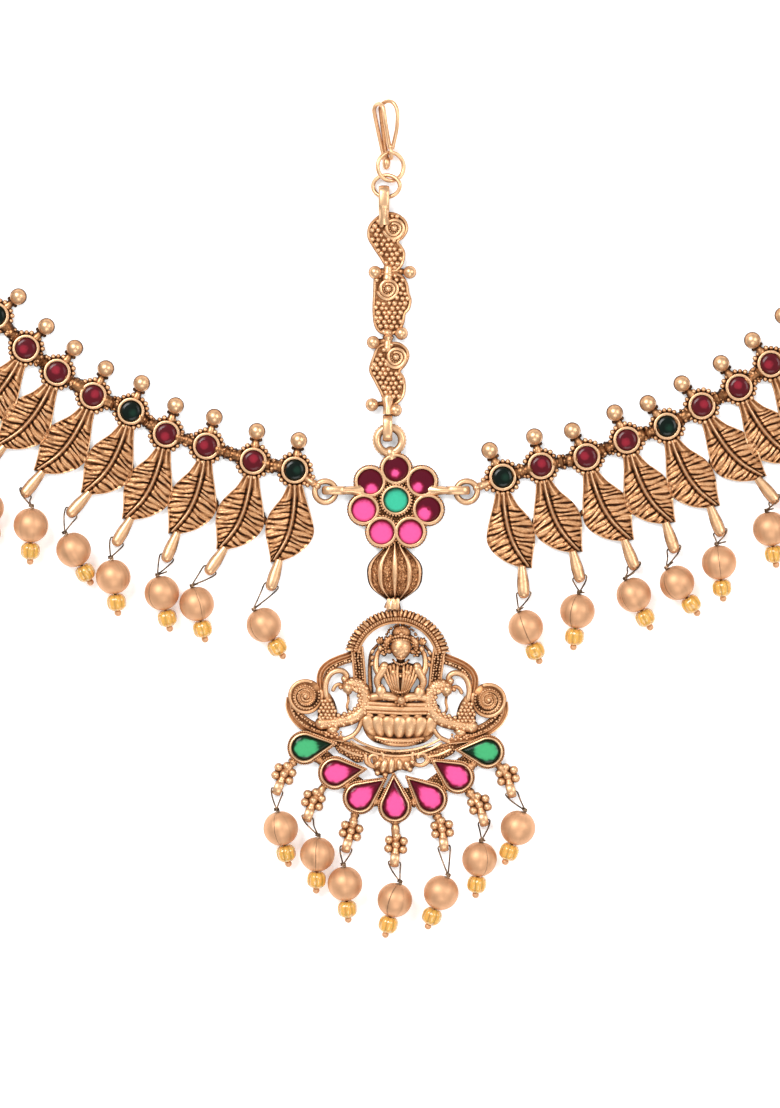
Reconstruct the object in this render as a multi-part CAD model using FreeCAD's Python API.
"""A matha patti: the jewel worn along the parting and across the forehead.

A granulated bar hangs from a hair hook and carries a seven-petalled rosette of
round stones. Below the rosette a ribbed bulb carries a pierced pendant with a
seated figure under an arch, a fan of seven pear stones and seven bead drops.
A cast band of leaf units runs from each side of the rosette to an end hook,
and every leaf carries a bead drop.

The jewel lies on its back: X runs along the bands, Y from the drops to the top
hook, and Z is up from the surface, with the casting backs on Z = 0. It is laid
out about the rosette's centre stone and moved at the end, so that the origin is
the middle of its footprint on the surface. All sizes are in millimetres.
"""

import FreeCAD
import Part

import math
import os

V = FreeCAD.Vector
UP = V(0, 0, 1)

# Castings
BAND_PLATE = 1.0
BEZEL_WALL = 0.5
CLEARANCE = 0.12
SEAT_DEPTH = 1.0

# Rosette
PETALS = 7
PETAL_RING = 5.5
PETAL_STONE = 2.05
PETAL_HEIGHT = 2.1
HEART_STONE = 2.05
HEART_HEIGHT = 2.3
ROSETTE_MIDDLE = (0.0, -0.35)

# Bands
UNIT_STONE = 1.75
UNIT_BEZEL_HEIGHT = 1.9
GRAIN_RING = 2.75
GRAIN_RADIUS = 0.43
GRAINS = 20
FINIAL_RADIUS = 1.42
FINIAL_REACH = 5.0
TAB_LENGTH = 6.0
TAB_WIDTH = 1.7
TAB_HEIGHT = 2.2
TAB_HOLE = 0.55
LINK_RADIUS = 0.5
LINK_RING = 1.75
END_RING = 2.3

# Drops
WIRE = 0.2
GOLD_BEAD = 2.9
GLASS_BEAD = 1.62
GLASS_HALF = 1.35
BEAD_HOLE = 0.38
BEAD_SPACING = 4.35
PIN_BALL = 0.55
PIN_SLOPE = 12
LOOP_HALF = 1.3
FLOWER_LOOP_HALF = 1.1
LOOP_REACH = 1.5
LOOP_RISE = 0.9

# Pendant
PENDANT_MIDDLE = (0.2, -26.7)
PENDANT_TURN = -1.2
FIGURE_X = 0.6
ARCH_DROP = 0.4
ARCH_OUTER = 8.9
ARCH_INNER = 6.5
PEAR_RADIUS = 2.02
PEAR_HEIGHT = 2.1

# Hooks and jump rings
RING_WIRE = 0.3
HOOK_WIRE = 0.3

# The nine units that show on each band, from the rosette outwards: the stone's place,
# the leans of the finial, the leaf and its tab, the bead's place from the stone, the pin's lean
UNIT_COLUMNS = ("x", "y", "finial", "leaf", "tab", "bead_x", "bead_y", "pin")
LEFT_UNITS = (
    (-16.9, 5.0, 8, 15, 17, -5.1, -25.8, -31),
    (-23.8, 6.5, 7, 23, 34, -9.4, -23.8, -13),
    (-31.6, 9.0, 15, 24, 23, -7.4, -24.5, -12),
    (-38.3, 11.0, 18, 28, 31, -8.8, -23.8, -7),
    (-44.2, 14.8, 21, 32, 42, -9.5, -23.1, -27),
    (-50.5, 17.4, 25, 39, 39, -10.3, -21.6, 2),
    (-56.5, 21.3, 36, 41, 42, -11.7, -22.6, -10),
    (-61.7, 25.3, 43, 44, 44, -12.6, -21.4, -4),
    (-66.8, 30.7, 50, 47, 47, -13.4, -21.0, 3),
)
RIGHT_UNITS = (
    (17.8, 3.8, 26, 18, 4, 3.8, -25.0, -22),
    (24.2, 5.7, 13, 26, 15, 6.0, -24.2, 6),
    (31.8, 7.2, 29, 30, 21, 7.8, -23.0, -27),
    (38.5, 10.0, 24, 31, 18, 8.3, -23.8, -34),
    (45.2, 12.3, 40, 34, 22, 8.6, -22.7, -7),
    (51.0, 15.7, 42, 43, 39, 11.3, -20.5, -10),
    (57.2, 18.8, 37, 42, 38, 11.2, -21.6, -8),
    (62.5, 22.7, 38, 44, 40, 12.0, -20.9, -3),
    (67.8, 27.0, 41, 46, 42, 12.4, -20.2, 4),
)
# Past the ninth unit each band goes on plainly to its end hook
HIDDEN_UNITS = 4
HIDDEN_STEP = 7.1
HIDDEN_RISE = (46, 48, 50, 52)
GREEN_EVERY = 4

# Pear stones from left to right: middle of the round end, way to the point, length
PEAR_COLUMNS = ("x", "y", "turn", "reach")
PEARS = (
    (-15.3, -41.3, 8, 4.6),
    (-10.2, -45.5, 7, 4.4),
    (-6.1, -49.6, 36, 4.7),
    (-0.2, -51.1, 92, 4.7),
    (5.8, -49.8, 138, 4.7),
    (10.3, -46.2, 146, 4.5),
    (15.3, -42.0, 176, 4.5),
)
# Grain flowers under the fan: middle, lean, then the bead's place and the pin's lean
FLOWER_COLUMNS = ("x", "y", "lean", "bead_x", "bead_y", "pin")
FLOWERS = (
    (-18.7, -45.7, -22, -19.2, -54.7, 12),
    (-13.8, -50.1, -18, -13.1, -59.0, -2),
    (-7.5, -55.2, -16, -8.5, -63.9, 5),
    (0.0, -57.5, -5, -0.2, -66.6, -15),
    (7.7, -54.9, 6, 7.5, -65.4, -21),
    (13.9, -50.8, 15, 13.9, -59.8, -6),
    (18.6, -46.0, 13, 20.3, -54.6, -20),
)
FLOWER_RING = 1.4
FLOWER_GRAIN = 0.74


def named(columns, row):
    return dict(zip(columns, row))


def turn_of(degrees):
    """Unit vector in the plane, at an angle from +X."""
    a = math.radians(degrees)
    return V(math.cos(a), math.sin(a), 0)


def down_lean(degrees):
    """Unit vector pointing down the jewel (-Y), leaning towards +X by the angle."""
    return turn_of(degrees - 90)


def disc(x, y, radius, low, high):
    return Part.makeCylinder(radius, high - low, V(x, y, low), UP)


def ball(x, y, z, radius):
    return Part.makeSphere(radius, V(x, y, z))


def flat_ring(x, y, z, ring, wire, axis=UP):
    return Part.makeTorus(ring, wire, V(x, y, z), axis)


def prism(edges, low, high):
    """Solid between two heights over a closed outline of edges."""
    face = Part.Face(Part.Wire(edges))
    face.translate(V(0, 0, low))
    return face.extrude(V(0, 0, high - low))


def arc_loop(points):
    """Closed outline of arcs: a point on the outline, then one in the middle of the arc."""
    at = [V(x, y, 0) for x, y in points]
    n = len(at)
    return [
        Part.Arc(at[i], at[i + 1], at[(i + 2) % n]).toShape() for i in range(0, n, 2)
    ]


def polygon(points):
    """Closed outline of straight runs."""
    at = [V(x, y, 0) for x, y in points]
    return Part.makePolygon([*at, at[0]]).Edges


def rounded_path(points, largest=1e9):
    """Straight runs joined by tangent arcs, each as large as its two runs allow."""
    points = [V(*p) for p in points]
    edges = []
    start = points[0]
    for before, corner, after in zip(points, points[1:], points[2:]):
        back = before - corner
        ahead = after - corner
        shorter = min(back.Length, ahead.Length)
        half_turn = (math.pi - back.getAngle(ahead)) / 2
        radius = min(0.45 * shorter / math.tan(half_turn), largest)
        cut = radius * math.tan(half_turn)
        back.normalize()
        ahead.normalize()
        first = corner + back * cut
        last = corner + ahead * cut
        middle = (back + ahead).normalize()
        crown = corner + middle * (radius / math.cos(half_turn) - radius)
        edges.append(Part.LineSegment(start, first).toShape())
        edges.append(Part.Arc(first, crown, last).toShape())
        start = last
    edges.append(Part.LineSegment(start, points[-1]).toShape())
    return Part.Wire(edges)


def rod(points, radius, largest=1e9):
    """Round wire along a path of straight runs and tangent arcs, with flat ends."""
    path = rounded_path(points, largest)
    way = V(*points[1]) - V(*points[0])
    end = Part.Wire([Part.makeCircle(radius, V(*points[0]), way)])
    return path.makePipeShell([end], True, False)


def flat_rod(points, radius, z):
    return rod([(x, y, z) for x, y in points], radius)


def capsule(start, end, radius):
    """Round rod with round ends, turned as one solid."""
    start, end = V(*start), V(*end)
    along = (end - start).normalize()
    side = along.cross(V(0.31, 0.57, 0.76)).normalize()
    pole, foot = start - along * radius, end + along * radius
    bulge = (along * -1 + side).normalize()
    bulge_end = (along + side).normalize()
    edges = [
        Part.Arc(pole, start + bulge * radius, start + side * radius).toShape(),
        Part.LineSegment(start + side * radius, end + side * radius).toShape(),
        Part.Arc(end + side * radius, end + bulge_end * radius, foot).toShape(),
        Part.LineSegment(foot, pole).toShape(),
    ]
    return Part.Face(Part.Wire(edges)).revolve(start, along, 360)


def joined(shapes):
    """One soldered solid."""
    whole = shapes[0].multiFuse(shapes[1:]).removeSplitter()
    if len(whole.Solids) != 1:
        raise ValueError("the pieces don't meet: %d solids" % len(whole.Solids))
    return whole.Solids[0]


def stadium(length, height, low):
    """Outline standing in the XZ plane from x = 0, with round ends."""
    r = height / 2
    mid = low + r
    corners = [
        V(r, 0, low),
        V(length - r, 0, low),
        V(length, 0, mid),
        V(length - r, 0, low + height),
        V(r, 0, low + height),
        V(0, 0, mid),
    ]
    return Part.Face(
        Part.Wire(
            [
                Part.LineSegment(corners[0], corners[1]).toShape(),
                Part.Arc(corners[1], corners[2], corners[3]).toShape(),
                Part.LineSegment(corners[3], corners[4]).toShape(),
                Part.Arc(corners[4], corners[5], corners[0]).toShape(),
            ]
        )
    )


def standing_eye(x, y, degrees, length, width, height, slot, slot_start, slot_end):
    """Loop on its edge, leaving (x, y) along an angle, with a slot through its sides."""
    body = stadium(length, height, 0).extrude(V(0, width, 0))
    gap = stadium(slot_end - slot_start, slot, (height - slot) / 2)
    gap = gap.extrude(V(0, width + 2, 0))
    gap.translate(V(slot_start, -1, 0))
    eye = body.cut(gap)
    eye.translate(V(0, -width / 2, 0))
    eye.rotate(V(0, 0, 0), UP, degrees)
    eye.translate(V(x, y, 0))
    return eye


def pear_outline(radius, reach):
    """Round end about the origin, drawn to a point on +X by two tangent lines."""
    half = math.acos(radius / reach)
    top = V(radius * math.cos(half), radius * math.sin(half), 0)
    low = V(top.x, -top.y, 0)
    point = V(reach, 0, 0)
    return [
        Part.Arc(top, V(-radius, 0, 0), low).toShape(),
        Part.LineSegment(low, point).toShape(),
        Part.LineSegment(point, top).toShape(),
    ]


def pear_prism(pear, grow, low, high):
    radius = PEAR_RADIUS + grow
    reach = pear["reach"] + grow * 1.4
    solid = prism(pear_outline(radius, reach), low, high)
    solid.rotate(V(0, 0, 0), UP, pear["turn"])
    solid.translate(V(pear["x"], pear["y"], 0))
    return solid


def faceted(rings):
    """Closed solid of flat facets between rings of points, each ring the same length."""
    faces = []
    count = len(rings[0])
    for lower, upper in zip(rings, rings[1:]):
        for i in range(count):
            j = (i + 1) % count
            for corners in (
                (lower[i], lower[j], upper[j]),
                (lower[i], upper[j], upper[i]),
            ):
                faces.append(Part.Face(Part.makePolygon([*corners, corners[0]])))
    for ring in (rings[0], rings[-1]):
        faces.append(Part.Face(Part.makePolygon([*ring, ring[0]])))
    return Part.Solid(Part.makeShell(faces)).removeSplitter()


STONE_SIDES = 12
CROWN = 0.45
TABLE = 0.66


def round_stone(x, y, radius, seat, top):
    """Round glass stone with a table and a facet on each side."""

    def ring(r, z):
        step = 360 / STONE_SIDES
        return [V(x, y, z) + turn_of(i * step) * r for i in range(STONE_SIDES)]

    return faceted(
        [
            ring(radius - 0.3, seat),
            ring(radius, top - CROWN),
            ring(radius * TABLE, top),
        ]
    )


def pear_ring(radius, reach, z):
    """Points round a pear outline at one height, the point of the pear first."""
    half = math.degrees(math.acos(radius / reach))
    arc_steps = 8
    sweep = (360 - 2 * half) / arc_steps
    points = [V(reach, 0, z)]
    for i in range(arc_steps + 1):
        points.append(turn_of(half + i * sweep) * radius + V(0, 0, z))
    return points


def pear_stone(pear, seat, top):
    r, reach = PEAR_RADIUS, pear["reach"]
    stone = faceted(
        [
            pear_ring(r - 0.3, reach - 0.5, seat),
            pear_ring(r, reach, top - CROWN),
            pear_ring(r * TABLE, reach * 0.68, top),
        ]
    )
    stone.rotate(V(0, 0, 0), UP, pear["turn"])
    stone.translate(V(pear["x"], pear["y"], 0))
    return stone


def drilled(bead, middle, way, hole, half):
    bore = Part.makeCylinder(hole, 2 * half + 2, middle - way * (half + 1), way)
    return bead.cut(bore)


def drop(hole, cross, bead_at, pin_lean, half):
    """A gold bead and a glass bead on a headpin, whose loop goes through an eye's hole."""
    flat = down_lean(pin_lean)
    slope = math.radians(PIN_SLOPE)
    way = flat * math.cos(slope) - UP * math.sin(slope)
    gold_middle = V(bead_at[0], bead_at[1], GOLD_BEAD)
    glass_middle = gold_middle + way * BEAD_SPACING
    gold = drilled(
        Part.makeSphere(GOLD_BEAD, gold_middle), gold_middle, way, BEAD_HOLE, GOLD_BEAD
    )
    glass = Part.makeSphere(GLASS_BEAD, V(0, 0, 0), UP, -90, 90, 360)
    glass = glass.common(disc(0, 0, GLASS_BEAD + 1, -GLASS_HALF, GLASS_HALF))
    glass = glass.cut(disc(0, 0, BEAD_HOLE, -GLASS_HALF - 1, GLASS_HALF + 1))
    glass.Placement = FreeCAD.Placement(glass_middle, FreeCAD.Rotation(UP, way))
    end = glass_middle + way * (GLASS_HALF + PIN_BALL + 0.05)
    neck = gold_middle - way * (GOLD_BEAD + 0.45)
    if (hole + cross * half - neck).Length > (hole - cross * half - neck).Length:
        cross = cross * -1
    near, far = hole + cross * half, hole - cross * half
    ahead = UP.cross(cross)
    if ahead.dot(neck - hole) < 0:
        ahead = ahead * -1
    past = ahead * LOOP_REACH + UP * LOOP_RISE
    aside = way.cross(UP).normalize()
    if aside.dot(cross) > 0:
        aside = aside * -1
    tail = neck + aside * 1.2 - way * 0.5
    corners = (end, neck, near + past, near, far, far + past, tail)
    wire = rod([tuple(p) for p in corners], WIRE, 0.35)
    pin = joined([wire, Part.makeSphere(PIN_BALL, end)])
    return pin, gold, glass


def band_units(rows, side):
    """The units of one band from the rosette outwards, with the plain ones past the table."""
    units = [named(UNIT_COLUMNS, row) for row in rows]
    for unit in units:
        unit["side"] = side
    for rise in HIDDEN_RISE[:HIDDEN_UNITS]:
        last = units[-1]
        step = turn_of(rise) * HIDDEN_STEP
        unit = dict(last)
        unit["x"] = last["x"] + side * step.x
        unit["y"] = last["y"] + step.y
        unit["finial"] = last["finial"] + 2
        unit["leaf"] = last["leaf"] + 2
        unit["tab"] = last["tab"] + 2
        unit["bead_x"] = last["bead_x"] + side * 0.7
        unit["bead_y"] = last["bead_y"] + 0.3
        unit["pin"] = -last["pin"]
        units.append(unit)
    return units


# Leaf blade beside the stone of a left unit whose leaf leans 15 degrees: points on the
# outline, each followed by the middle of its arc, from the top right round to the tip
LEAF_OUTLINE = (
    (1.5, -2.6),
    (2.6, -6.3),
    (3.25, -10.0),
    (2.0, -12.7),
    (-1.6, -15.3),
    (-3.0, -15.5),
    (-4.2, -15.6),
    (-4.15, -14.8),
    (-4.15, -13.7),
    (-4.85, -10.2),
    (-4.1, -7.2),
    (-2.8, -4.6),
    (-1.4, -2.7),
    (0.0, -2.9),
)
LEAF_LEAN = 15
TAB_START = (-2.4, -14.4)
LEAF_THICK = 1.1


def leaf_place(unit, point):
    """A point of the leaf's drawing, placed at a unit and mirrored on the right band."""
    a = math.radians(-(unit["leaf"] - LEAF_LEAN))
    x = point[0] * math.cos(a) - point[1] * math.sin(a)
    y = point[0] * math.sin(a) + point[1] * math.cos(a)
    return unit["x"] - unit["side"] * x, unit["y"] + y


def tab_way(unit):
    """Angle from +X along which the unit's tab leaves the leaf."""
    return -90 + unit["side"] * unit["tab"]


def tab_hole(unit):
    x, y = leaf_place(unit, TAB_START)
    way = turn_of(tab_way(unit))
    reach = TAB_LENGTH - TAB_HEIGHT / 2
    return V(x, y, TAB_HEIGHT / 2) + way * reach, way.cross(UP)


def scalloped(x, y, ring, bump, count, low, high):
    """Plate whose edge is a round of half-round grains."""
    step = 360 / count
    here = V(x, y, 0)
    edges = []
    for i in range(count):
        a, m, b = (i * step, (i + 0.5) * step, (i + 1) * step)
        edges.append(
            Part.Arc(
                here + turn_of(a) * ring,
                here + turn_of(m) * (ring + bump),
                here + turn_of(b) * ring,
            ).toShape()
        )
    return prism(edges, low, high)


def leaf_unit(unit):
    """Stone cup in a round of grains, with its finial above and its leaf and tab below."""
    x, y = unit["x"], unit["y"]
    finial = V(x, y, 0) + turn_of(90 + unit["side"] * unit["finial"]) * FINIAL_REACH
    blade = [leaf_place(unit, p) for p in LEAF_OUTLINE]
    tab_x, tab_y = leaf_place(unit, TAB_START)
    tab = standing_eye(
        tab_x,
        tab_y,
        tab_way(unit),
        TAB_LENGTH,
        TAB_WIDTH,
        TAB_HEIGHT,
        2 * TAB_HOLE,
        TAB_LENGTH - TAB_HEIGHT / 2 - TAB_HOLE,
        TAB_LENGTH - TAB_HEIGHT / 2 + TAB_HOLE + 0.01,
    )
    return [
        scalloped(x, y, GRAIN_RING, GRAIN_RADIUS, GRAINS, 0, BAND_PLATE),
        disc(x, y, UNIT_STONE + BEZEL_WALL, 0, UNIT_BEZEL_HEIGHT),
        capsule((x, y, 0.75), (finial.x, finial.y, 0.75), 0.7),
        ball(finial.x, finial.y, FINIAL_RADIUS, FINIAL_RADIUS),
        prism(arc_loop(blade), 0, LEAF_THICK),
        tab,
    ]


def bridges(units):
    """Solder bars from each unit to the next, between the cups and between the leaves."""
    bars = []
    for a, b in zip(units, units[1:]):
        bars.append(capsule((a["x"], a["y"], 0.6), (b["x"], b["y"], 0.6), 0.55))
        inner, outer = (-4.4, -9.6), (2.8, -8.6)
        start = leaf_place(a, inner)
        end = leaf_place(b, outer)
        bars.append(capsule((*start, 0.45), (*end, 0.45), 0.4))
    return bars


LINK_HEIGHT = 1.3


def band(units, side):
    """One band: leaf units soldered in a row, with a flat ring at each end."""
    first, last = units[0], units[-1]
    pieces = [s for unit in units for s in leaf_unit(unit)] + bridges(units)
    way = turn_of(HIDDEN_RISE[-1])
    end_x = last["x"] + side * way.x * 5.6
    end_y = last["y"] + way.y * 5.6
    ring_x, ring_y = side * 11.8, 1.4
    for x, y, ring, cup in (
        (ring_x, ring_y, LINK_RING, first),
        (end_x, end_y, END_RING, last),
    ):
        to_cup = (V(cup["x"], cup["y"], 0) - V(x, y, 0)).normalize()
        start = V(x, y, LINK_HEIGHT) + to_cup * ring
        goal = V(cup["x"], cup["y"], 0.75) - to_cup * 2.2
        pieces.append(flat_ring(x, y, LINK_HEIGHT, ring, LINK_RADIUS))
        pieces.append(capsule(tuple(start), tuple(goal), 0.48))
    whole = joined(pieces)
    seats = [
        disc(
            u["x"],
            u["y"],
            UNIT_STONE + CLEARANCE / 2,
            UNIT_BEZEL_HEIGHT - SEAT_DEPTH,
            UNIT_BEZEL_HEIGHT + 1,
        )
        for u in units
    ]
    return whole.cut(seats), V(end_x, end_y, LINK_HEIGHT)


def band_stones(units):
    return [
        round_stone(
            u["x"],
            u["y"],
            UNIT_STONE - CLEARANCE / 2,
            UNIT_BEZEL_HEIGHT - SEAT_DEPTH + 0.1,
            UNIT_BEZEL_HEIGHT + 0.25,
        )
        for u in units
    ]


def petal_places():
    x, y = ROSETTE_MIDDLE
    step = 360 / PETALS
    for i in range(PETALS):
        way = turn_of(90 - i * step) * PETAL_RING
        yield x + way.x, y + way.y


BULB_TOP = -6.4
BULB_FOOT = -16.9
BULB_WIDE = -12.7
BULB_HALF = 4.65
BULB_RIBS = 7


def bulb():
    """Flat-backed ribbed bulb: an onion outline with ribs raised along its meridians."""
    top, wide, foot = (-0.2, BULB_TOP), (-0.2, BULB_WIDE), (-0.3, BULB_FOOT)
    outline = [
        (top[0] + 1.6, top[1]),
        (wide[0] + 3.0, wide[1] + 3.4),
        (wide[0] + BULB_HALF, wide[1]),
        (wide[0] + 3.4, foot[1] + 1.2),
        (foot[0] + 0.9, foot[1]),
        (foot[0], foot[1] - 0.05),
        (foot[0] - 0.9, foot[1]),
        (wide[0] - 3.4, foot[1] + 1.2),
        (wide[0] - BULB_HALF, wide[1]),
        (wide[0] - 3.0, wide[1] + 3.4),
        (top[0] - 1.6, top[1]),
        (top[0], top[1] + 0.1),
    ]
    pieces = [prism(arc_loop(outline), 0, 1.7)]
    for i in range(BULB_RIBS):
        share = (i - (BULB_RIBS - 1) / 2) / ((BULB_RIBS - 1) / 2)
        reach = share * (BULB_HALF - 0.45)
        lift = 1.75 + 1.1 * (1 - share * share)
        pieces.append(
            rod(
                [
                    (top[0] + share * 0.5, BULB_TOP - 0.2, 1.2),
                    (wide[0] + reach, BULB_WIDE + 1.7, lift),
                    (wide[0] + reach, BULB_WIDE - 1.5, lift),
                    (foot[0] + share * 0.4, BULB_FOOT + 0.35, 1.2),
                ],
                0.42,
            )
        )
    return pieces


ROSETTE_EYE = (-1.1, 10.0)
ROSETTE_EYE_Z = 1.35


def rosette_pieces():
    """Eight stone cups on a disc, the bar's eye above, a standing eye each side, the bulb."""
    x, y = ROSETTE_MIDDLE
    eye_x, eye_y = ROSETTE_EYE
    arm = dict(width=1.4, height=2.6, slot=1.5)
    return [
        disc(x, y, 6.0, 0, 1.2),
        disc(0, 0, HEART_STONE + BEZEL_WALL, 0, HEART_HEIGHT),
        *(disc(a, b, PETAL_STONE + 0.55, 0, PETAL_HEIGHT) for a, b in petal_places()),
        flat_ring(eye_x, eye_y, ROSETTE_EYE_Z, 2.1, 0.7),
        capsule((eye_x + 0.2, eye_y - 2.3, 1.1), (x - 0.4, y + 5.2, 1.0), 1.0),
        standing_eye(-6.2, 1.6, 180, 6.2, slot_start=2.2, slot_end=5.5, **arm),
        standing_eye(6.2, 1.6, 0, 6.2, slot_start=2.2, slot_end=5.5, **arm),
        *bulb(),
        capsule((-0.5, BULB_FOOT + 0.8, 1.1), (-0.7, BULB_FOOT - 2.2, 1.0), 1.0),
    ]


def rosette_seats():
    """Room for the stones, and for the arch that the bulb's neck is let in against."""
    lean = turn_of(PENDANT_TURN - 90) * ARCH_DROP
    x, y = PENDANT_MIDDLE[0] + lean.x, PENDANT_MIDDLE[1] + lean.y
    arch_room = disc(x, y, ARCH_OUTER + CLEARANCE, -1, 6)
    seats = [
        disc(x, y, PETAL_STONE + CLEARANCE / 2, PETAL_HEIGHT - SEAT_DEPTH, 4)
        for x, y in petal_places()
    ]
    heart = disc(0, 0, HEART_STONE + CLEARANCE / 2, HEART_HEIGHT - SEAT_DEPTH, 4)
    return [*seats, heart, arch_room]


# Scrolls of the pendant's left half about the arch, as rods: radius, height, then points
SCROLLS = (
    (
        "shoulder", 0.6, 0.75,
        (
            (-7.4, 0.7), (-10.3, -0.3), (-12.1, -1.7), (-12.7, -3.8), (-12.0, -6.0),
        ),
    ),
    (
        "curl", 0.5, 0.7,
        (
            (-10.9, -4.7), (-11.3, -2.6), (-10.0, -1.5), (-8.8, -2.2), (-9.1, -3.9),
        ),
    ),
    (
        "neck", 0.95, 1.0,
        (
            (-9.2, -4.2), (-7.4, -3.7), (-5.8, -5.0), (-5.4, -7.3), (-6.8, -9.7), (-9.2, -10.7),
            (-12.0, -10.4),
        ),
    ),
    (
        "tail", 0.85, 0.9,
        (
            (-17.7, -6.8), (-17.2, -9.7), (-15.2, -11.7), (-12.4, -12.5), (-9.6, -12.3),
        ),
    ),
    (
        "foot", 0.45, 0.7,
        (
            (-5.2, -9.3), (-6.3, -12.0), (-8.6, -13.9),
        ),
    ),
    (
        "rail", 0.55, 0.75,
        (
            (-15.9, -11.9), (-12.2, -13.5), (-8.4, -14.3), (-4.0, -14.9), (0.2, -15.3),
        ),
    ),
    (
        "hip", 0.4, 0.65,
        (
            (-9.8, -12.6), (-8.2, -13.2), (-6.4, -14.6),
        ),
    ),
    (
        "pillar", 1.2, 1.15,
        (
            (-7.0, 1.4), (-6.75, -1.6), (-6.4, -4.6),
        ),
    ),
)
TAIL_CURL = (-15.2, -6.6)
TAIL_CURL_RADIUS = 2.85
PEACOCK = (-11.7, -7.9)


def mirrored(solid):
    return solid.mirror(V(0, 0, 0), V(1, 0, 0))


def arch():
    """Flat band over the figure, between two arcs."""
    middle = V(0, -ARCH_DROP, 0)
    ways = [turn_of(a) for a in (14, 90, 166)]
    outer = [middle + w * ARCH_OUTER for w in ways]
    inner = [middle + w * ARCH_INNER for w in ways]
    return prism(
        [
            Part.Arc(*outer).toShape(),
            Part.LineSegment(outer[2], inner[2]).toShape(),
            Part.Arc(*reversed(inner)).toShape(),
            Part.LineSegment(inner[0], outer[0]).toShape(),
        ],
        0,
        1.7,
    )


def side_work():
    """Peacock, scrolls and tail curl on one side, with its mirror image."""
    half = [flat_rod(points, r, z) for _, r, z, points in SCROLLS]
    curl_x, curl_y = TAIL_CURL
    half.append(disc(curl_x, curl_y, TAIL_CURL_RADIUS, 0, 1.3))
    half.append(flat_ring(curl_x, curl_y, 1.1, TAIL_CURL_RADIUS - 0.45, 0.55))
    half.append(flat_ring(curl_x, curl_y, 1.2, 0.95, 0.4))
    half.append(capsule((*PEACOCK, 1.2), (PEACOCK[0] - 0.1, PEACOCK[1] + 2.4, 0.9), 1.25))
    half.append(capsule((PEACOCK[0], PEACOCK[1], 0.9), (-14.2, -9.6, 0.7), 0.8))
    return half + [mirrored(s) for s in half]


# Throne and lotus under the figure, about its middle line
LOTUS_OUTLINE = (
    (-6.0, -7.2), (6.0, -7.2), (6.3, -8.8), (5.4, -12.6),
    (4.3, -14.2), (-4.3, -14.2), (-5.4, -12.6), (-6.3, -8.8),
)


def figure():
    """Seated figure with four arms on a lotus, in relief, about its own middle line."""
    pieces = [
        ball(0, 2.6, 1.5, 1.55),
        capsule((0, 3.3, 1.3), (0, 5.0, 1.0), 1.15),
        capsule((0, 5.4, 0.9), (0, 6.6, 0.9), 0.85),
        capsule((0, 1.4, 1.1), (0, -0.4, 1.1), 0.75),
        capsule((-1.9, -1.1, 1.1), (1.9, -1.1, 1.1), 1.05),
        capsule((-0.7, -1.6, 1.2), (-0.5, -4.6, 1.2), 1.15),
        capsule((0.7, -1.6, 1.2), (0.5, -4.6, 1.2), 1.15),
        capsule((-3.6, -6.3, 1.1), (3.6, -6.3, 1.1), 1.05),
        ball(0.2, -6.6, 1.9, 0.75),
        prism(polygon(LOTUS_OUTLINE), 0, 1.3),
        capsule((-5.6, -8.1, 1.25), (5.6, -8.1, 1.25), 0.7),
        capsule((-3.9, -13.6, 1.15), (3.9, -13.6, 1.15), 0.7),
    ]
    for way in (-1, 1):
        raised = [(2.2, -1.2, 1.1), (3.6, -2.4, 1.0), (4.2, 0.0, 0.9), (3.6, 2.0, 0.8)]
        pieces.append(rod([(way * x, y, z) for x, y, z in raised], 0.5))
        pieces.append(capsule((way * 3.6, 1.9, 0.9), (way * 2.9, 3.4, 0.8), 0.8))
        lowered = [(2.4, -1.6, 1.2), (4.1, -4.1, 1.1), (3.2, -6.0, 1.1)]
        pieces.append(rod([(way * x, y, z) for x, y, z in lowered], 0.55))
        pieces.append(capsule((way * 3.3, -4.9, 1.3), (way * 3.2, -5.8, 1.3), 0.75))
        pieces.append(capsule((way * 2.6, 3.2, 0.8), (way * 4.6, 4.8, 0.7), 0.45))
    for i in range(-3, 4):
        top, low = 1.62 * i, 1.3 * i
        width = 0.95 - 0.06 * abs(i)
        pieces.append(capsule((top, -9.6, 1.35), (low, -12.2, 1.1), width))
    for piece in pieces:
        piece.translate(V(FIGURE_X, 0, 0))
    return pieces


def fan_ornament():
    """Small leafy boss between the rail and the fan of stones."""
    return [
        capsule((-0.6, -16.4, 0.9), (-0.6, -19.2, 0.9), 1.3),
        flat_rod(((-4.6, -16.2), (-3.4, -17.9), (-1.0, -17.2), (0.0, -16.0)), 0.45, 0.65),
        flat_rod(((4.2, -16.0), (2.6, -17.7), (0.2, -17.2), (-0.6, -16.0)), 0.45, 0.65),
        capsule((-2.0, -18.0, 0.8), (-1.2, -19.4, 0.8), 0.8),
        capsule((1.0, -18.0, 0.8), (0.2, -19.4, 0.8), 0.8),
        flat_rod(((-5.6, -14.9), (-7.2, -16.6), (-5.6, -18.4)), 0.5, 0.65),
        flat_rod(((5.9, -14.8), (7.6, -16.0), (6.3, -17.8)), 0.5, 0.65),
    ]


def flower_eye(flower):
    """Angle of the eye under a grain flower, and where it starts."""
    way = turn_of(flower["lean"] - 90)
    start = V(flower["x"], flower["y"], 0) + way * 0.6
    return flower["lean"] - 90, start, way


EYE_LENGTH = 3.2
EYE_WIDTH = 1.5
EYE_HEIGHT = 2.0
EYE_HOLE = 0.5


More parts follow.
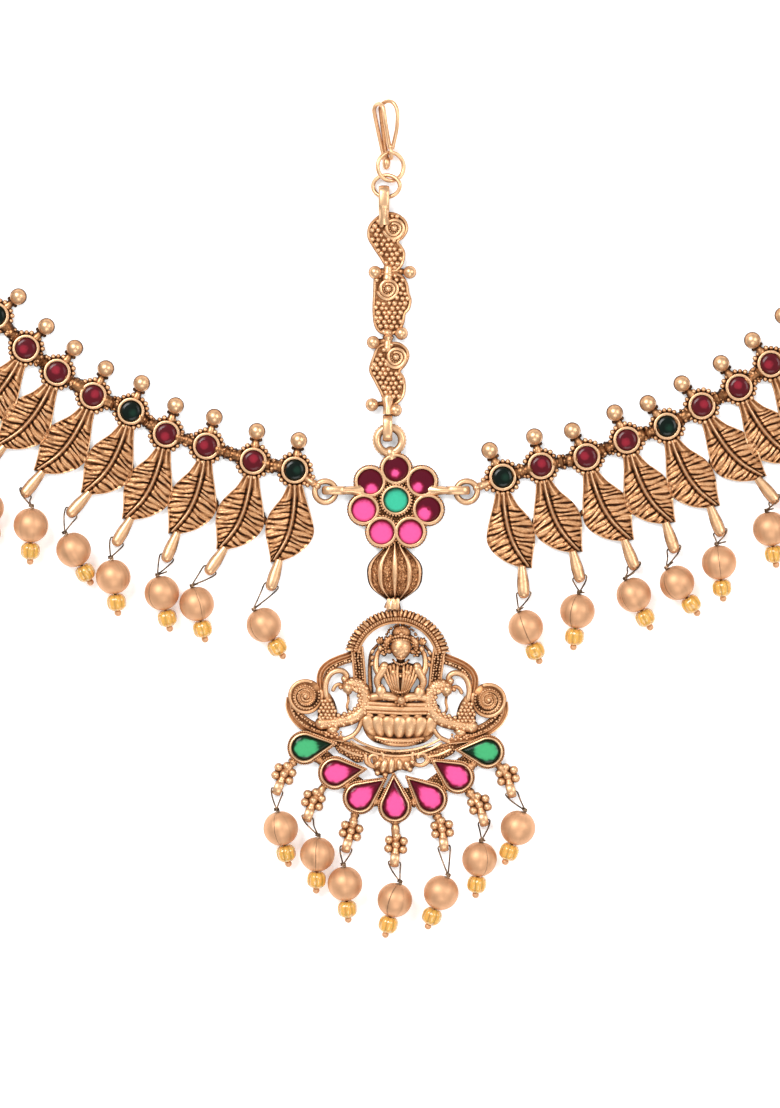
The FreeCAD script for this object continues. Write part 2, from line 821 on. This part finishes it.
def grain_flower(flower):
    """Six grains round a seventh, with a standing eye below and a neck to the fan above."""
    x, y = flower["x"], flower["y"]
    degrees, start, way = flower_eye(flower)
    pieces = [disc(x, y, 1.55, 0, 0.75), ball(x, y, 0.95, FLOWER_GRAIN)]
    for i in range(6):
        at = V(x, y, 0) + turn_of(degrees + 60 * i) * FLOWER_RING
        pieces.append(ball(at.x, at.y, 0.8, FLOWER_GRAIN))
    pieces.append(
        standing_eye(
            start.x,
            start.y,
            degrees,
            EYE_LENGTH,
            EYE_WIDTH,
            EYE_HEIGHT,
            2 * EYE_HOLE,
            EYE_LENGTH - EYE_HEIGHT / 2 - EYE_HOLE,
            EYE_LENGTH - EYE_HEIGHT / 2 + EYE_HOLE + 0.01,
        )
    )
    return pieces


def pendant():
    """The pierced casting: arch, peacocks, figure, fan of cups and grain flowers."""
    upper = [arch(), *side_work(), *figure(), *fan_ornament()]
    middle = V(*PENDANT_MIDDLE, 0)
    for piece in upper:
        piece.rotate(V(0, 0, 0), UP, PENDANT_TURN)
        piece.translate(middle)
    pears = [named(PEAR_COLUMNS, row) for row in PEARS]
    flowers = [named(FLOWER_COLUMNS, row) for row in FLOWERS]
    lower = [pear_prism(p, 0.8, 0, PEAR_HEIGHT) for p in pears]
    for flower, pear in zip(flowers, pears):
        lower.extend(grain_flower(flower))
        start = (pear["x"], pear["y"], 0.8)
        lower.append(capsule(start, (flower["x"], flower["y"], 0.6), 0.55))
    for a, b in zip(pears, pears[1:]):
        lower.append(capsule((a["x"], a["y"], 0.7), (b["x"], b["y"], 0.7), 0.65))
    whole = joined(upper + lower)
    below = Part.makeBox(60, 60, 5, V(-30, -70, -5))
    seats = [pear_prism(p, CLEARANCE / 2, PEAR_HEIGHT - SEAT_DEPTH, 4) for p in pears]
    return whole.cut([below, *seats])


def flower_drops():
    drops = []
    for row in FLOWERS:
        flower = named(FLOWER_COLUMNS, row)
        _, start, way = flower_eye(flower)
        hole = start + way * (EYE_LENGTH - EYE_HEIGHT / 2) + V(0, 0, EYE_HEIGHT / 2)
        bead_at = (flower["bead_x"], flower["bead_y"])
        drops.append(drop(hole, way.cross(UP), bead_at, flower["pin"], FLOWER_LOOP_HALF))
    return drops


def band_drops(units):
    drops = []
    for unit in units:
        hole, cross = tab_hole(unit)
        bead_at = (unit["x"] + unit["bead_x"], unit["y"] + unit["bead_y"])
        drops.append(drop(hole, cross, bead_at, -unit["pin"], LOOP_HALF))
    return drops


# Paisley motifs of the bar, from the top: outline points, each followed by the middle
# of its arc, then the middle of the spiral and the two balls below
MOTIFS = (
    (
        (
            (-2.6, 47.4), (-0.3, 48.1), (1.8, 46.0), (1.4, 44.2), (0.2, 43.1), (1.2, 41.8),
            (0.9, 39.1), (-0.6, 37.9), (-2.0, 39.2), (-3.6, 41.6), (-4.6, 44.0), (-4.3, 46.2),
        ),
        (-0.3, 45.3),
        ((-3.5, 38.0), (2.3, 38.0)),
    ),
    (
        (
            (-3.4, 37.2), (-1.0, 38.2), (1.4, 37.0), (2.1, 35.0), (2.4, 32.6), (1.5, 31.0),
            (0.9, 28.8), (-0.9, 27.4), (-3.3, 28.3), (-3.75, 32.7),
        ),
        (-1.3, 35.2),
        ((-3.8, 26.3), (0.9, 27.8)),
    ),
    (
        (
            (-2.6, 25.8), (-0.1, 26.7), (2.1, 24.4), (1.7, 22.5), (0.5, 21.3), (1.5, 19.9),
            (1.1, 17.0), (-0.7, 15.6), (-2.4, 17.2), (-3.5, 19.6), (-4.5, 21.7), (-3.8, 24.3),
        ),
        (0.0, 23.8),
        ((-4.0, 15.9), (-0.1, 15.0)),
    ),
)
MOTIF_THICK = 1.4


def paisley_bar():
    """Three paisley motifs in a row with balls at the joints and an eye at each end."""
    pieces = [
        capsule((-1.6, 46.0, 0.8), (-1.2, 16.6, 0.8), 0.75),
        standing_eye(-2.0, 46.6, 90, 5.9, 1.8, 2.7, 1.8, 2.2, 5.35),
        standing_eye(-1.4, 16.4, -90, 6.7, 1.6, 2.7, 1.75, 3.0, 6.2),
    ]
    for outline, spiral, balls in MOTIFS:
        pieces.append(prism(arc_loop(outline), 0, MOTIF_THICK))
        pieces.append(disc(*spiral, 1.75, 0, 1.6))
        pieces.append(flat_ring(*spiral, 1.6, 1.35, 0.35))
        pieces.append(ball(*spiral, 1.7, 0.55))
        for x, y in balls:
            pieces.append(ball(x, y, 1.1, 1.05))
            pieces.append(capsule((x, y, 0.8), (-1.3, y, 0.8), 0.5))
    return joined(pieces)


# Jump rings at the top: middle, then half the width and half the height of the wire's line
HOOK_RING_ROLL = 23
BAR_RING_ROLL = -16
HOOK_RING = (-0.9, 55.6, 1.35, 2.3, 2.3)
BAR_RING = (-1.6, 52.35, 1.3, 2.3, 1.8)


def jump_ring(x, y, z, half_width, half_height, roll):
    """Ring of wire rolled about Y, so that it lies across its neighbour."""
    line = Part.Ellipse(V(0, 0, 0), half_width, half_height - 0.001).toShape()
    way = V(0, 1, 0)
    end = Part.Wire([Part.makeCircle(RING_WIRE, V(half_width, 0, 0), way)])
    ring = Part.Wire([line]).makePipeShell([end], True, False)
    ring.rotate(V(0, 0, 0), V(0, 1, 0), roll)
    ring.translate(V(x, y, z))
    return ring


# Way of each wire of a hook from its eye, over the top and back to the tip
HOOK_FRONT = ((-0.25, 0.75, 1.9), (-0.9, 4.5, 3.0), (-1.5, 7.7, 2.9))
HOOK_TURN = ((-2.3, 8.5, 1.7), (-3.1, 7.4, 0.45))
HOOK_FRONT_B = ((0.25, 0.75, 1.9), (0.9, 4.5, 3.0), (0.8, 7.2, 2.9))
HOOK_TURN_B = ((-0.6, 9.0, 1.7), (-2.1, 7.4, 0.45))
HOOK_LEG = (-1.3, -0.5, 0.36)
HOOK_LEG_B = (-0.8, -0.5, 0.36)
HOOK_TIP = (-0.75, -2.2, 0.7)
HOOK_EYE_Z = 1.3
HOOK_EYE = 1.0


def wire_hook():
    """Doubled wire bent to a hook, with its eye at the origin and +Y away from the jewel."""
    tip_a = (HOOK_TIP[0] - 0.15, HOOK_TIP[1], HOOK_TIP[2])
    tip_b = (HOOK_TIP[0] + 0.2, HOOK_TIP[1] + 0.2, HOOK_TIP[2])
    pieces = [
        Part.makeTorus(HOOK_EYE, HOOK_WIRE, V(0, 0, HOOK_EYE_Z), V(1, 0, 0)),
        rod([*HOOK_FRONT, *HOOK_TURN, HOOK_LEG, tip_a], HOOK_WIRE),
        rod([*HOOK_FRONT_B, *HOOK_TURN_B, HOOK_LEG_B, tip_b], HOOK_WIRE),
        Part.makeSphere(HOOK_TIP[2] - 0.02, V(*HOOK_TIP)),
        Part.makeSphere(0.42, V(0, 0.85, 1.9)),
    ]
    return joined(pieces)


def placed_hook(x, y, z, degrees):
    hook = wire_hook()
    hook.rotate(V(0, 0, 0), UP, degrees)
    hook.translate(V(x, y, z))
    return hook


def all_nodes():
    """Every node's name with its solids, about the rosette's centre stone."""
    nodes = {"paisley_bar": [paisley_bar()]}
    ring_x, ring_y, _, _, ring_r = HOOK_RING
    nodes["hook_ring"] = [jump_ring(*HOOK_RING, HOOK_RING_ROLL)]
    nodes["bar_ring"] = [jump_ring(*BAR_RING, BAR_RING_ROLL)]
    nodes["top_hook"] = [placed_hook(ring_x + 0.1, ring_y + ring_r + 0.1, 0, 0)]
    nodes["rosette_casting"] = [joined(rosette_pieces()).cut(rosette_seats())]
    nodes["pendant_casting"] = [pendant()]
    low = PETAL_HEIGHT - SEAT_DEPTH + 0.1
    for i, (x, y) in enumerate(petal_places()):
        stone = round_stone(x, y, PETAL_STONE - CLEARANCE / 2, low, PETAL_HEIGHT + 0.1)
        nodes["petal_stone_%d" % (i + 1)] = [stone]
    low = HEART_HEIGHT - SEAT_DEPTH + 0.1
    heart = round_stone(0, 0, HEART_STONE - CLEARANCE / 2, low, HEART_HEIGHT + 0.1)
    nodes["heart_stone"] = [heart]
    low = PEAR_HEIGHT - SEAT_DEPTH + 0.1
    for i, row in enumerate(PEARS):
        stone = pear_stone(named(PEAR_COLUMNS, row), low, PEAR_HEIGHT + 0.15)
        nodes["pear_stone_%d" % (i + 1)] = [stone]
    for i, (pin, gold, glass) in enumerate(flower_drops()):
        nodes["pendant_pin_%d" % (i + 1)] = [pin]
        nodes["pendant_bead_%d" % (i + 1)] = [gold]
        nodes["pendant_glass_%d" % (i + 1)] = [glass]
    for name, rows, side in (("left", LEFT_UNITS, -1), ("right", RIGHT_UNITS, 1)):
        units = band_units(rows, side)
        metal, end = band(units, side)
        nodes[name + "_band"] = [metal]
        stones = band_stones(units)
        greens = stones[::GREEN_EVERY]
        nodes[name + "_band_greens"] = greens
        nodes[name + "_band_rubies"] = [s for s in stones if s not in greens]
        pins, golds, glasses = zip(*band_drops(units))
        nodes[name + "_band_pins"] = pins
        nodes[name + "_band_beads"] = golds
        nodes[name + "_band_glass"] = glasses
        way = turn_of(HIDDEN_RISE[-1])
        out = V(side * way.x, way.y, 0)
        seat = end + out * (END_RING + 0.05)
        heading = math.degrees(math.atan2(out.y, out.x)) - 90
        nodes[name + "_end_hook"] = [placed_hook(seat.x, seat.y, 0, heading)]
    return nodes


def main():
    os.makedirs("parts", exist_ok=True)
    nodes = {name: Part.makeCompound(list(s)) for name, s in all_nodes().items()}
    box = Part.makeCompound(list(nodes.values())).optimalBoundingBox(False)
    shift = V(-(box.XMin + box.XMax) / 2, -(box.YMin + box.YMax) / 2, 0)
    print("footprint %.2f x %.2f x %.2f" % (box.XLength, box.YLength, box.ZLength))
    print("the rosette's centre stone is at %.3f, %.3f" % (shift.x, shift.y))
    for name, shape in nodes.items():
        shape.translate(shift)
        shape = shape.Solids[0] if len(shape.Solids) == 1 else shape
        if not shape.isValid():
            print("not valid:", name)
        shape.exportStep("parts/%s.step" % name)


main()
